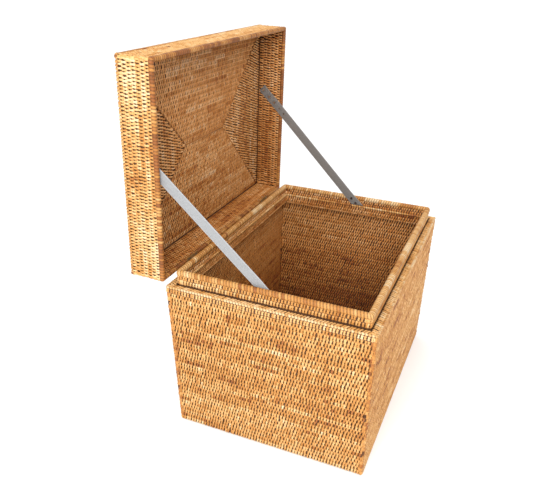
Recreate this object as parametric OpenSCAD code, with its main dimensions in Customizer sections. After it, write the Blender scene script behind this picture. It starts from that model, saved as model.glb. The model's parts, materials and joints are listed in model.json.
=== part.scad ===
// Woven rattan trunk with a hinged lid, shown with the lid held open by two webbing straps.
// Origin on the floor under the middle of the body. +Z is up, -Y is the front, +Y is the hinge side
// and X runs along the hinge. Every piece is a separate solid. Millimetres.

/* [Body] */
// Width of the body at the ledge, along the hinge
body_w = 610; // [560:5:700]
// Depth of the body at the ledge, from front to back
body_d = 438; // [400:2:500]
// Height of the ledge above the floor
ledge_z = 356; // [300:2:420]
// How far each end wall leans in at the floor
taper_x = 20; // [0:1:25]
// How far the front and back walls lean in at the floor
taper_y = 5; // [0:1:15]
// Thickness of a woven wall
wall_t = 12; // [10:1:14]
// Height of the wooden rail and cover that make the ledge
ledge_h = 16; // [14:1:20]
// Thickness of the woven cover on top of the ledge
cover_t = 4; // [3:0.5:5]
// Thickness of the woven cover on the outer edge of the ledge
cover_side_t = 3; // [2:0.5:4]

/* [Collar] */
// Distance from the outer edge of the ledge to the collar's rim
collar_inset = 15; // [14:1:20]
// Height of the collar's rim above the ledge
collar_h = 31; // [26:1:36]
// Thickness of the woven collar wall
collar_t = 12; // [10:1:14]
// Width of the wrapped rim on the collar
collar_rim_w = 13; // [12:1:16]
// Height of the wrapped rim on the collar
collar_rim_h = 10; // [8:1:12]
// Height of the middle of the inner bead above the ledge
bead_up = 4; // [3:1:8]
// Radius of the inner bead
bead_r = 3; // [2:0.5:4]

/* [Floor] */
// Width of a bottom rail
bottom_rail_w = 22; // [18:1:30]
// Height of a bottom rail
bottom_rail_h = 9; // [8:1:14]
// Thickness of the woven floor panel
floor_t = 7; // [5:1:10]
// Width of the cross brace under the floor panel
brace_w = 40; // [30:1:60]

/* [Lid] */
// Depth of the lid from front to back
lid_d = 436; // [400:2:500]
// Height of the lid from its rim to its top
lid_h = 79; // [70:1:100]
// Thickness of a woven lid wall and of the rim below it
lid_wall_t = 10; // [9:1:12]
// Thickness of the woven top panel
lid_panel_t = 10; // [8:1:12]
// Height of the wrapped rim on the lid
lid_rim_h = 8; // [6:1:12]
// Gap between the ledge and the closed lid
lid_gap = 0.5; // [0.4:0.1:1.5]
// Angle that the straps let the lid open to, in degrees
lid_angle = 89; // [80:1:95]

/* [Rods] */
// Width of the squared rattan posts in the body's corners
body_post_w = 8; // [6:1:9]
// Radius of the rattan rods in the lid's edges
lid_rod_r = 3; // [2:0.5:3.5]

/* [Hinges] */
// Distance of each hinge from the middle of the trunk
hinge_x = 190; // [120:5:240]
// Length of a hinge along its pin
hinge_len = 44; // [36:2:60]
// Length of the middle knuckle, which is on the lid's leaf
hinge_mid = 17.4; // [14:0.2:20]
// Thickness of a hinge leaf
leaf_t = 1.2; // [1:0.1:1.5]
// Outer radius of the knuckle
knuckle_r = 2.8; // [2.6:0.1:3]
// Radius of the hinge pin
pin_r = 1.2; // [1:0.1:1.4]
// Height of the hinge pin above the ledge
pin_up = 2; // [1.8:0.1:2.4]
// Distance of the hinge pin behind the ledge
pin_back = 4; // [3.6:0.1:5]

/* [Straps] */
// Width of the webbing
strap_w = 22; // [20:1:25]
// Thickness of the webbing
strap_t = 1.2; // [1:0.1:1.6]
// Lower end of the left strap, measured towards the back from the middle
left_low_y = 0; // [-20:1:20]
// Lower end of the right strap, measured towards the back from the middle
right_low_y = -14; // [-20:1:20]
// Upper end of the left strap when the lid is open, depth and height
left_top = [268, 630];
// Upper end of the right strap when the lid is open, depth and height
right_top = [276, 642];
// Length of the lower end that lies flat on the collar
strap_low_flat = 38; // [36:1:44]
// Length of the upper end that lies flat on the lid's wall
strap_top_flat = 58; // [56:1:64]

/* [Hidden] */
$fn = 48;

LEFT = -1;
RIGHT = 1;
FRONT = -1;
BACK = 1;
straw = [0.80, 0.61, 0.36];
pale = [0.88, 0.72, 0.48];
cane = [0.62, 0.43, 0.24];
timber = [0.66, 0.50, 0.33];
webbing = [0.62, 0.61, 0.59];
brass = [0.70, 0.58, 0.33];
steel = [0.72, 0.72, 0.70];

far = 2000;
eps = 0.02;
slack = 0.05;
hw = body_w / 2;
hd = body_d / 2;
rail_hw = hw - cover_side_t;
rail_hd = hd - cover_side_t;
wall_top = ledge_z - ledge_h;
rail_top = ledge_z - cover_t;
rim_hw = hw - collar_inset;
rim_hd = hd - collar_inset;
well_hw = rim_hw - collar_rim_w;
well_hd = rim_hd - collar_rim_w;
collar_top = ledge_z + collar_h;
collar_wall_top = collar_top - collar_rim_h;
bead_z = ledge_z + bead_up;

foot_hw = hw - wall_t - taper_x;
foot_hd = hd - wall_t - taper_y;
post_foot = 4;

lid_z = ledge_z + lid_gap;
lid_top = lid_z + lid_h;
lid_wall_z = lid_z + lid_rim_h;
lid_front = hd - lid_d;
lid_in_hw = hw - lid_wall_t;
lid_in_front = lid_front + lid_wall_t;
lid_in_back = hd - lid_wall_t;
lid_rod_z = lid_top - lid_wall_t / 2;
lid_post_x = hw - lid_wall_t / 2;
lid_post_top = lid_top - lid_wall_t;

pin_y = hd + pin_back;
pin_z = ledge_z + pin_up;
bore_r = pin_r + slack;
leaf_front = hd - 13;
leaf_notch = 3.4;
notch_gap = 0.3;
leaf_gap = 0.3;
knuckle_side = (hinge_len - hinge_mid - notch_gap) / 2;
body_leaf_z = lid_z - leaf_gap - leaf_t;
pin_head_r = 2.2;
pin_head_t = 1;
hinge_screw_r = 1.5;
hinge_screw_head = 2.7;
hinge_screw_len = 12;
hinge_screw_x = 14;
hinge_screw_y = leaf_front + 5;

strap_screw_r = 1.25;
strap_head_r = 3.4;
strap_head_t = 1.5;
strap_screw_len = 7;
eyelet_r = 1.6;
strap_gap = 0.2;
strap_low_z = ledge_z + 8;
strap_low_x = well_hw - strap_gap - strap_t / 2;
strap_top_x = lid_in_hw - strap_gap - strap_t / 2;
strap_low_screws = [7, 24];
// Measured back from the strap's upper end: three screws, then two spare eyelets
strap_top_screws = [7, 31, 51];
strap_eyelets = [71, 90];

// ---- helpers ----

// Solid between the four leaning faces of the body, set in from its outer faces by inset
module body_block(inset, z0, z1) {
    lean_x = taper_x / ledge_z;
    lean_y = taper_y / ledge_z;
    function half(top, lean, z) = top - inset - lean * (ledge_z - z);
    intersection() {
        rotate([90, 0, 0])
            linear_extrude(height = far, center = true)
                polygon([
                    [-half(hw, lean_x, z0), z0], [half(hw, lean_x, z0), z0],
                    [half(hw, lean_x, z1), z1], [-half(hw, lean_x, z1), z1]
                ]);
        rotate([90, 0, 90])
            linear_extrude(height = far, center = true)
                polygon([
                    [-half(hd, lean_y, z0), z0], [half(hd, lean_y, z0), z0],
                    [half(hd, lean_y, z1), z1], [-half(hd, lean_y, z1), z1]
                ]);
    }
}

// Everything beyond a plane that leans with the front or back wall, set in from its outer face
module beyond_y(side, inset) {
    lean_y = taper_y / ledge_z;
    function half(z) = hd - inset - lean_y * (ledge_z - z);
    rotate([90, 0, 90])
        linear_extrude(height = far, center = true)
            polygon([
                [side * half(-1), -1], [side * far, -1],
                [side * far, ledge_z], [side * half(ledge_z), ledge_z]
            ]);
}

// Everything beyond a plane that leans with an end wall, set in from its outer face
module beyond_x(side, inset) {
    lean_x = taper_x / ledge_z;
    function half(z) = hw - inset - lean_x * (ledge_z - z);
    rotate([90, 0, 0])
        linear_extrude(height = far, center = true)
            polygon([
                [side * half(-1), -1], [side * far, -1],
                [side * far, ledge_z], [side * half(ledge_z), ledge_z]
            ]);
}

// Box given by its low and high corners
module span(low, high) {
    translate(low)
        cube(high - low);
}

// Swings what was drawn with the lid closed to where the straps hold it
module opened() {
    translate([0, pin_y, pin_z])
        rotate([-lid_angle, 0, 0])
            translate([0, -pin_y, -pin_z])
                children();
}

// Puts a bar that was drawn along Y, with its cross-section in X and Z, along the X axis instead
module along_x() {
    rotate([0, 0, 90])
        children();
}

// ---- floor ----

module floor_panel() {
    color(cane)
        intersection() {
            body_block(wall_t, 1, wall_top);
            span([-far, -far, bottom_rail_h], [far, far, bottom_rail_h + floor_t]);
        }
}

module bottom_rail_y(side) {
    color(timber)
        intersection() {
            body_block(wall_t, 0, wall_top);
            mirror([0, side > 0 ? 1 : 0, 0])
                span([-far, -far, 0], [far, bottom_rail_w - foot_hd, bottom_rail_h]);
        }
}

module bottom_rail_x(side) {
    inner = foot_hd - bottom_rail_w;
    color(timber)
        intersection() {
            body_block(wall_t, 0, wall_top);
            mirror([side > 0 ? 1 : 0, 0, 0])
                span([-far, -inner, 0], [bottom_rail_w - foot_hw, inner, bottom_rail_h]);
        }
}

module bottom_brace() {
    reach = foot_hd - bottom_rail_w;
    color(timber)
        span([-brace_w / 2, -reach, 0], [brace_w / 2, reach, bottom_rail_h]);
}

// ---- walls ----

// Squared post that leans with both walls of its corner, in the middle of their thickness
module post_solid(sx, sy, z1) {
    outer = (wall_t - body_post_w) / 2;
    intersection() {
        body_block(outer, post_foot, z1);
        beyond_x(sx, outer + body_post_w);
        beyond_y(sy, outer + body_post_w);
    }
}

module corner_post(sx, sy) {
    color(cane)
        post_solid(sx, sy, wall_top);
}

module wall_y(side) {
    color(straw)
        difference() {
            intersection() {
                body_block(0, 0, wall_top);
                beyond_y(side, wall_t);
            }
            for (sx = [LEFT, RIGHT])
                post_solid(sx, side, wall_top + 1);
        }
}

module wall_x(side) {
    color(straw)
        difference() {
            intersection() {
                body_block(0, 0, wall_top);
                beyond_x(side, wall_t);
            }
            beyond_y(FRONT, wall_t);
            beyond_y(BACK, wall_t);
        }
}

// ---- ledge ----

module hinge_screw_holes(z0, z1) {
    for (s = [LEFT, RIGHT])
        for (dx = [-hinge_screw_x, hinge_screw_x])
            translate([s * hinge_x + dx, hinge_screw_y, z0])
                cylinder(r = hinge_screw_r + slack, h = z1 - z0);
}

module ledge_rail_y(side) {
    color(timber)
        difference() {
            mirror([0, side > 0 ? 0 : 1, 0])
                span([-rail_hw, well_hd, wall_top], [rail_hw, rail_hd, rail_top]);
            if (side == BACK)
                hinge_screw_holes(body_leaf_z + leaf_t - hinge_screw_len, ledge_z + 1);
        }
}

module ledge_rail_x(side) {
    color(timber)
        mirror([side > 0 ? 0 : 1, 0, 0])
            span([well_hw, -well_hd, wall_top], [rail_hw, well_hd, rail_top]);
}

module ledge_cover() {
    color(straw)
        difference() {
            span([-hw, -hd, wall_top], [hw, hd, ledge_z]);
            span([-rail_hw, -rail_hd, wall_top - 1], [rail_hw, rail_hd, rail_top]);
            span([1 - rim_hw, 1 - rim_hd, wall_top], [rim_hw - 1, rim_hd - 1, ledge_z + 1]);
            for (s = [LEFT, RIGHT])
                translate([s * hinge_x, 0, 0])
                    span(
                        [-hinge_len / 2 - notch_gap, leaf_front - notch_gap, body_leaf_z],
                        [hinge_len / 2 + notch_gap, far, ledge_z + 1]
                    );
            hinge_screw_holes(rail_top - 1, ledge_z + 1);
        }
}

// ---- collar ----

module strap_holes_body(side) {
    for (s = strap_low_screws)
        strap_hole(side, s, strap_low_x, strap_screw_len + 1);
}

module collar_y(side) {
    color(straw)
        mirror([0, side > 0 ? 0 : 1, 0])
            span([-well_hw - collar_t, well_hd, rail_top],
                 [well_hw + collar_t, well_hd + collar_t, collar_wall_top]);
}

module collar_x(side) {
    color(straw)
        difference() {
            mirror([side > 0 ? 0 : 1, 0, 0])
                span([well_hw, -well_hd, rail_top], [well_hw + collar_t, well_hd, collar_wall_top]);
            strap_holes_body(side);
        }
}

// Cross-section of the collar's rim: a square foot under a half round
module collar_rim_profile() {
    r = collar_rim_w / 2;
    translate([well_hw, 0]) {
        translate([0, collar_wall_top])
            square([collar_rim_w, collar_rim_h - r]);
        translate([r, collar_top - r])
            intersection() {
                circle(r = r);
                translate([-r, 0])
                    square([2 * r, r]);
            }
    }
}

module rim_bar(length) {
    rotate([90, 0, 0])
        linear_extrude(height = length, center = true)
            collar_rim_profile();
}

module collar_rim_x(side) {
    color(pale)
        difference() {
            mirror([side > 0 ? 0 : 1, 0, 0])
                rim_bar(2 * well_hd);
            strap_holes_body(side);
        }
}

module collar_rim_y(side) {
    color(pale)
        mirror([0, side > 0 ? 0 : 1, 0])
            translate([0, well_hd - well_hw, 0])
                along_x()
                    rim_bar(2 * rim_hw);
}

// Bead that runs round the inside of the collar, in four straight lengths with square corners
module inner_bead() {
    color(pale)
        intersection() {
            union()
                for (s = [LEFT, RIGHT]) {
                    translate([s * well_hw, 0, bead_z])
                        rotate([90, 0, 0])
                            cylinder(r = bead_r, h = 2 * well_hd, center = true);
                    translate([0, s * well_hd, bead_z])
                        rotate([0, 90, 0])
                            cylinder(r = bead_r, h = 2 * well_hw, center = true);
                }
            span([-well_hw, -well_hd, 0], [well_hw, well_hd, far]);
        }
}

// ---- hinges ----

// Knuckle barrels along the pin: the two outer ones, or the middle one
module barrels(outer, radius) {
    if (outer)
        for (s = [LEFT, RIGHT])
            translate([s * (hinge_len - knuckle_side) / 2, pin_y, pin_z])
                rotate([0, 90, 0])
                    cylinder(r = radius, h = knuckle_side, center = true);
    else
        translate([0, pin_y, pin_z])
            rotate([0, 90, 0])
                cylinder(r = radius, h = hinge_mid - notch_gap / 2, center = true);
}

// Room that a leaf leaves for the other leaf's knuckles
module knuckle_room(outer) {
    room = outer ? knuckle_side + notch_gap : hinge_mid + notch_gap;
    for (x = outer ? [(hinge_len - knuckle_side) / 2, -(hinge_len - knuckle_side) / 2] : [0])
        translate([x - room / 2, pin_y - leaf_notch, pin_z - far / 2])
            cube([room, far, far]);
}

module pin_bore() {
    translate([0, pin_y, pin_z])
        rotate([0, 90, 0])
            cylinder(r = bore_r, h = hinge_len + 2, center = true);
}

module countersink(x, z, up) {
    translate([x, hinge_screw_y, z])
        mirror([0, 0, up ? 1 : 0])
            union() {
                translate([0, 0, -leaf_t])
                    cylinder(r1 = hinge_screw_r + slack, r2 = hinge_screw_head + slack, h = leaf_t);
                translate([0, 0, -leaf_t - 1])
                    cylinder(r = hinge_screw_r + slack, h = leaf_t + 1);
            }
}

module hinge_leaf(z0, outer, up) {
    difference() {
        union() {
            difference() {
                span([-hinge_len / 2, leaf_front, z0], [hinge_len / 2, pin_y, z0 + leaf_t]);
                knuckle_room(!outer);
            }
            barrels(outer, knuckle_r);
        }
        pin_bore();
        for (dx = [-hinge_screw_x, hinge_screw_x])
            countersink(dx, up ? z0 : z0 + leaf_t, up);
    }
}

module hinge_leaf_body(side) {
    color(brass)
        translate([side * hinge_x, 0, 0])
            hinge_leaf(body_leaf_z, true, false);
}

module hinge_leaf_lid(side) {
    color(brass)
        opened()
            translate([side * hinge_x, 0, 0])
                hinge_leaf(lid_z, false, true);
}

module hinge_pin(side) {
    color(steel)
        translate([side * hinge_x, pin_y, pin_z])
            rotate([0, 90, 0]) {
                cylinder(r = pin_r, h = hinge_len, center = true);
                for (end = [0, 1])
                    mirror([0, 0, end])
                        translate([0, 0, hinge_len / 2])
                            cylinder(r = pin_head_r, h = pin_head_t);
            }
}

module countersunk_screw() {
    union() {
        translate([0, 0, -leaf_t])
            cylinder(r1 = hinge_screw_r, r2 = hinge_screw_head, h = leaf_t);
        translate([0, 0, -hinge_screw_len])
            cylinder(r = hinge_screw_r, h = hinge_screw_len - leaf_t);
    }
}

module hinge_screws_body() {
    color(steel)
        for (s = [LEFT, RIGHT])
            for (dx = [-hinge_screw_x, hinge_screw_x])
                translate([s * hinge_x + dx, hinge_screw_y, body_leaf_z + leaf_t])
                    countersunk_screw();
}

module hinge_screws_lid() {
    color(steel)
        opened()
            for (s = [LEFT, RIGHT])
                for (dx = [-hinge_screw_x, hinge_screw_x])
                    translate([s * hinge_x + dx, hinge_screw_y, lid_z])
                        mirror([0, 0, 1])
                            countersunk_screw();
}

// ---- straps ----

function strap_foot(side) = [side > 0 ? right_low_y : left_low_y, strap_low_z];
function strap_head(side) = side > 0 ? right_top : left_top;
function strap_run(side) = strap_head(side) - strap_foot(side);
function strap_len(side) = norm(strap_run(side));
function strap_angle(side) = atan2(strap_run(side)[1], strap_run(side)[0]);

// Frame of a strap: X stays outwards, and Z runs up the strap from its lower end
module strap_frame(side) {
    foot = strap_foot(side);
    mirror([side > 0 ? 0 : 1, 0, 0])
        translate([0, foot[0], foot[1]])
            rotate([strap_angle(side) - 90, 0, 0])
                children();
}

module strap_hole(side, s, x, depth) {
    strap_frame(side)
        translate([x, 0, s])
            rotate([0, 90, 0])
                cylinder(r = strap_screw_r + slack, h = depth);
}

// Round hole across the webbing, at a place along it and a distance from the middle plane
module strap_punch(s, x, radius, depth) {
    translate([x, 0, s])
        rotate([0, 90, 0])
            cylinder(r = radius, h = depth, center = true);
}

module strap(side) {
    length = strap_len(side);
    low = strap_low_flat;
    top = length - strap_top_flat;
    half = strap_t / 2;
    tail = strap_w;
    color(webbing)
        intersection() {
            strap_frame(side)
                difference() {
                    rotate([90, 0, 0])
                        linear_extrude(height = strap_w, center = true)
                            polygon([
                                [strap_low_x - half, -tail], [strap_low_x + half, -tail],
                                [strap_low_x + half, low], [strap_top_x + half, top],
                                [strap_top_x + half, length], [strap_top_x - half, length],
                                [strap_top_x - half, top], [strap_low_x - half, low]
                            ]);
                    for (s = strap_low_screws)
                        strap_punch(s, strap_low_x, strap_screw_r + slack, 4 * strap_t);
                    for (s = strap_top_screws)
                        strap_punch(length - s, strap_top_x, strap_screw_r + slack, 4 * strap_t);
                    for (s = strap_eyelets)
                        strap_punch(length - s, strap_top_x, eyelet_r, 12 * strap_t);
                }
            span([-far, -far, strap_low_z], [far, far, far]);
        }
}

// Pan-head screw with its head inside and its shank pointing out through the strap
module pan_screw(x) {
    rotate([0, 90, 0]) {
        translate([0, 0, x - strap_t / 2 - strap_head_t])
            cylinder(r = strap_head_r, h = strap_head_t);
        translate([0, 0, x - strap_t / 2])
            cylinder(r = strap_screw_r, h = strap_screw_len);
    }
}

module strap_screws_body() {
    color(steel)
        for (side = [LEFT, RIGHT])
            for (s = strap_low_screws)
                strap_frame(side)
                    translate([0, 0, s])
                        pan_screw(strap_low_x);
}

module strap_screws_lid() {
    color(steel)
        for (side = [LEFT, RIGHT])
            for (s = strap_top_screws)
                strap_frame(side)
                    translate([0, 0, strap_len(side) - s])
                        pan_screw(strap_top_x);
}

// ---- lid, drawn closed and then opened ----

module lid_panel() {
    color(straw)
        opened()
            span([-lid_in_hw, lid_in_front, lid_top - lid_panel_t], [lid_in_hw, lid_in_back, lid_top]);
}

module rod_along_x(y, radius, reach) {
    translate([0, y, lid_rod_z])
        rotate([0, 90, 0])
            cylinder(r = radius, h = 2 * reach, center = true);
}

function lid_side_y(side) = side > 0 ? hd - lid_wall_t / 2 : lid_front + lid_wall_t / 2;

module lid_post_solid(sx, sy, z1) {
    translate([sx * lid_post_x, lid_side_y(sy), lid_wall_z])
        cylinder(r = lid_rod_r, h = z1 - lid_wall_z);
}

module lid_wall_y(side) {
    y0 = lid_side_y(side) - lid_wall_t / 2;
    color(straw)
        opened()
            difference() {
                span([-hw, y0, lid_wall_z], [hw, y0 + lid_wall_t, lid_top]);
                rod_along_x(lid_side_y(side), lid_rod_r, hw + 1);
                for (sx = [LEFT, RIGHT])
                    translate([0, 0, -eps])
                        lid_post_solid(sx, side, lid_post_top + eps);
                if (side == BACK)
                    hinge_screw_holes(lid_wall_z - 1, lid_z + hinge_screw_len);
            }
}

module rod_along_y(side, radius, y0, y1) {
    translate([side * lid_post_x, y0, lid_rod_z])
        rotate([-90, 0, 0])
            cylinder(r = radius, h = y1 - y0);
}

module lid_wall_x(side) {
    color(straw)
        difference() {
            opened()
                difference() {
                    mirror([side > 0 ? 0 : 1, 0, 0])
                        span([lid_in_hw, lid_in_front, lid_wall_z], [hw, lid_in_back, lid_top]);
                    rod_along_y(side, lid_rod_r, lid_in_front - 1, lid_in_back + 1);
                }
            for (s = strap_top_screws)
                strap_hole(side, strap_len(side) - s, strap_top_x, strap_screw_len);
        }
}

module lid_rod_y(side) {
    color(cane)
        opened()
            rod_along_x(lid_side_y(side), lid_rod_r, hw);
}

module lid_rod_x(side) {
    color(cane)
        opened()
            rod_along_y(side, lid_rod_r, lid_in_front, lid_in_back);
}

module lid_post(sx, sy) {
    color(cane)
        opened()
            lid_post_solid(sx, sy, lid_post_top);
}

// Cross-section of the lid's rim: a half round under a square head, from the inner face outwards
module lid_rim_profile() {
    r = lid_wall_t / 2;
    translate([r, lid_z + r])
        intersection() {
            circle(r = r);
            translate([-r, -r])
                square([2 * r, r]);
        }
    translate([0, lid_z + r])
        square([lid_wall_t, lid_rim_h - r]);
}

module lid_rim_bar(length) {
    rotate([90, 0, 0])
        linear_extrude(height = length, center = true)
            lid_rim_profile();
}

module lid_rim_y(side) {
    color(pale)
        opened()
            difference() {
                translate([0, lid_side_y(side) - lid_wall_t / 2, 0])
                    along_x()
                        lid_rim_bar(body_w);
                if (side == BACK) {
                    hinge_screw_holes(lid_z - 1, lid_wall_z + 1);
                    for (s = [LEFT, RIGHT])
                        translate([s * hinge_x, 0, 0])
                            span(
                                [-hinge_len / 2 - notch_gap, leaf_front - notch_gap, lid_z - 1],
                                [hinge_len / 2 + notch_gap, far, lid_z + leaf_t]
                            );
                }
            }
}

module lid_rim_x(side) {
    color(pale)
        opened()
            mirror([side > 0 ? 0 : 1, 0, 0])
                translate([lid_in_hw, (lid_in_front + lid_in_back) / 2, 0])
                    lid_rim_bar(lid_in_back - lid_in_front);
}

floor_panel();
bottom_brace();
bottom_rail_y(FRONT);  // bottom_rail_front
bottom_rail_y(BACK);  // bottom_rail_back
bottom_rail_x(LEFT);  // bottom_rail_left
bottom_rail_x(RIGHT);  // bottom_rail_right
wall_y(FRONT);  // wall_front
wall_y(BACK);  // wall_back
wall_x(LEFT);  // wall_left
wall_x(RIGHT);  // wall_right
corner_post(LEFT, FRONT);  // post_front_left
corner_post(RIGHT, FRONT);  // post_front_right
corner_post(LEFT, BACK);  // post_back_left
corner_post(RIGHT, BACK);  // post_back_right
ledge_rail_y(FRONT);  // ledge_rail_front
ledge_rail_y(BACK);  // ledge_rail_back
ledge_rail_x(LEFT);  // ledge_rail_left
ledge_rail_x(RIGHT);  // ledge_rail_right
ledge_cover();
inner_bead();
collar_y(FRONT);  // collar_front
collar_y(BACK);  // collar_back
collar_x(LEFT);  // collar_left
collar_x(RIGHT);  // collar_right
collar_rim_y(FRONT);  // collar_rim_front
collar_rim_y(BACK);  // collar_rim_back
collar_rim_x(LEFT);  // collar_rim_left
collar_rim_x(RIGHT);  // collar_rim_right
hinge_leaf_body(LEFT);  // hinge_leaf_body_left
hinge_leaf_body(RIGHT);  // hinge_leaf_body_right
hinge_pin(LEFT);  // hinge_pin_left
hinge_pin(RIGHT);  // hinge_pin_right
hinge_screws_body();
strap_screws_body();
strap(LEFT);  // strap_left
strap(RIGHT);  // strap_right
lid_panel();
lid_wall_y(FRONT);  // lid_wall_front
lid_wall_y(BACK);  // lid_wall_back
lid_wall_x(LEFT);  // lid_wall_left
lid_wall_x(RIGHT);  // lid_wall_right
lid_rod_y(FRONT);  // lid_rod_front
lid_rod_y(BACK);  // lid_rod_back
lid_rod_x(LEFT);  // lid_rod_left
lid_rod_x(RIGHT);  // lid_rod_right
lid_post(LEFT, FRONT);  // lid_post_front_left
lid_post(RIGHT, FRONT);  // lid_post_front_right
lid_post(LEFT, BACK);  // lid_post_back_left
lid_post(RIGHT, BACK);  // lid_post_back_right
lid_rim_y(FRONT);  // lid_rim_front
lid_rim_y(BACK);  // lid_rim_back
lid_rim_x(LEFT);  // lid_rim_left
lid_rim_x(RIGHT);  // lid_rim_right
hinge_leaf_lid(LEFT);  // hinge_leaf_lid_left
hinge_leaf_lid(RIGHT);  // hinge_leaf_lid_right
hinge_screws_lid();
strap_screws_lid();
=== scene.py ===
"""Finish of a woven rattan trunk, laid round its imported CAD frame.

Every wall is a row of rattan rods with flat cane stitched over them. A stitch is one small closed shell that
arches over its rod, so walls and lid are tens of thousands of stitches, and rims are wrapped loops.
Lengths are metres. The lid is worked out shut and then swung open about its hinge, as the frame has it.
"""

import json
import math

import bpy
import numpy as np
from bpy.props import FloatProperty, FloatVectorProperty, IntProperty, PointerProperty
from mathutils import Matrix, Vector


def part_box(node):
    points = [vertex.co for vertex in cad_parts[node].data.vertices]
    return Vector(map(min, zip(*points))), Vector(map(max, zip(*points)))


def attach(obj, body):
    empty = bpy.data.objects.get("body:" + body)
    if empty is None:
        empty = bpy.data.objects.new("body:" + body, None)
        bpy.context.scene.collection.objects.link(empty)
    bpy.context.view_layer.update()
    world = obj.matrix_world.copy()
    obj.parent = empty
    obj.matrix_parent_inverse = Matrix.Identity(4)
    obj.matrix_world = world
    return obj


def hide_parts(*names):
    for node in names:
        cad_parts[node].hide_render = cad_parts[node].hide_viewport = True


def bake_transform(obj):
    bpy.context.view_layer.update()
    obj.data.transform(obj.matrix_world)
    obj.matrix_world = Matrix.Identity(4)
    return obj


bl_info = {
    "name": "Woven Rattan Trunk",
    "version": (1, 0, 0),
    "blender": (4, 5, 0),
    "location": "View3D > Sidebar > Trunk",
    "description": "Weaves the walls, lid, rims and straps of a rattan trunk round its CAD frame",
    "category": "Object",
}

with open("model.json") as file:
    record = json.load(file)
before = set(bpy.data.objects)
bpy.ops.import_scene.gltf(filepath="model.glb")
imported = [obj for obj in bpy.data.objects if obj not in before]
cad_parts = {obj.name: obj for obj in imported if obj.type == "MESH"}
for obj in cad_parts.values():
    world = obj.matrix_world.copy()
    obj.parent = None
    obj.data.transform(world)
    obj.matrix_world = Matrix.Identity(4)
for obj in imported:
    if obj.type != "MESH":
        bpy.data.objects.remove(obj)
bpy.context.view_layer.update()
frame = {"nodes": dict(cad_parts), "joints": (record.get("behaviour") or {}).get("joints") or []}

MM = 0.001
TRUNK, LID = "trunk", "lid"
SIDES = ("front", "right", "back", "left")
UP = np.array([0.0, 0.0, 1.0])


# ---- settings that a user would change ----


class WeaveSettings(bpy.types.PropertyGroup):
    """Sizes of the rods and of the cane that is stitched over them"""

    row_pitch: FloatProperty(
        name="Row Pitch", description="Distance from one rod to the next", default=0.0096, unit="LENGTH"
    )
    stitch_pitch: FloatProperty(
        name="Stitch Pitch", description="Distance between stitches in a row", default=0.0065, unit="LENGTH"
    )
    stitch_width: FloatProperty(
        name="Stitch Width", description="Width of the cane", default=0.0056, unit="LENGTH"
    )
    stitch_length: FloatProperty(
        name="Stitch Length", description="Length of a stitch over its rod", default=0.0128, unit="LENGTH"
    )
    cane_thickness: FloatProperty(
        name="Cane Thickness", description="Thickness of the cane", default=0.0013, unit="LENGTH"
    )
    stitch_arch: FloatProperty(
        name="Stitch Arch", description="Drop from the crown of a stitch to its ends",
        default=0.0026, unit="LENGTH"
    )
    outer_lean: FloatProperty(
        name="Outer Lean", description="Slant of the stitches outside", default=math.radians(8), subtype="ANGLE"
    )
    inner_lean: FloatProperty(
        name="Inner Lean", description="Slant of the stitches inside", default=math.radians(17), subtype="ANGLE"
    )
    outer_shift: FloatProperty(
        name="Outer Shift", description="Share of the pitch that each row outside is moved on", default=0.42
    )
    inner_shift: FloatProperty(
        name="Inner Shift", description="Share of the pitch that each row inside is moved on", default=0.62
    )
    wall_thickness: FloatProperty(
        name="Wall Thickness", description="Thickness of a body wall", default=0.012, unit="LENGTH"
    )
    corner_radius: FloatProperty(
        name="Corner Radius", description="Radius of the woven corners", default=0.005, unit="LENGTH"
    )
    wrap_pitch: FloatProperty(
        name="Wrap Pitch", description="Distance between turns of cane round a rim", default=0.0064, unit="LENGTH"
    )
    seed: IntProperty(name="Seed", description="Seed of every random draw", default=11)


class FinishSettings(bpy.types.PropertyGroup):
    """Colours of the cane, the wood, the webbing and the metal"""

    rust: FloatVectorProperty(
        name="Rust Cane", description="Darkest cane", default=(0.340, 0.115, 0.026), subtype="COLOR"
    )
    amber: FloatVectorProperty(
        name="Amber Cane", description="Reddish cane", default=(0.520, 0.225, 0.050), subtype="COLOR"
    )
    honey: FloatVectorProperty(
        name="Honey Cane", description="Commonest cane", default=(0.640, 0.322, 0.095), subtype="COLOR"
    )
    straw: FloatVectorProperty(
        name="Straw Cane", description="Light cane", default=(0.765, 0.460, 0.185), subtype="COLOR"
    )
    pale: FloatVectorProperty(
        name="Pale Cane", description="Lightest cane", default=(0.840, 0.615, 0.350), subtype="COLOR"
    )
    # The rods' near-black is painted shade: it makes the slots between stitches read as shadow.
    rod: FloatVectorProperty(
        name="Rod", description="Rods under the stitches", default=(0.095, 0.034, 0.008), subtype="COLOR"
    )
    timber: FloatVectorProperty(
        name="Timber", description="Stained rails", default=(0.300, 0.155, 0.065), subtype="COLOR"
    )
    webbing_left: FloatVectorProperty(
        name="Left Webbing", description="Strap at the left end", default=(0.370, 0.380, 0.395), subtype="COLOR"
    )
    webbing_right: FloatVectorProperty(
        name="Right Webbing", description="Strap at the right end", default=(0.225, 0.212, 0.200), subtype="COLOR"
    )
    brass: FloatVectorProperty(
        name="Old Brass", description="Hinge leaves, dulled brown", default=(0.480, 0.270, 0.100), subtype="COLOR"
    )
    steel: FloatVectorProperty(
        name="Steel", description="Pins and screws", default=(0.560, 0.560, 0.550), subtype="COLOR"
    )


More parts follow.
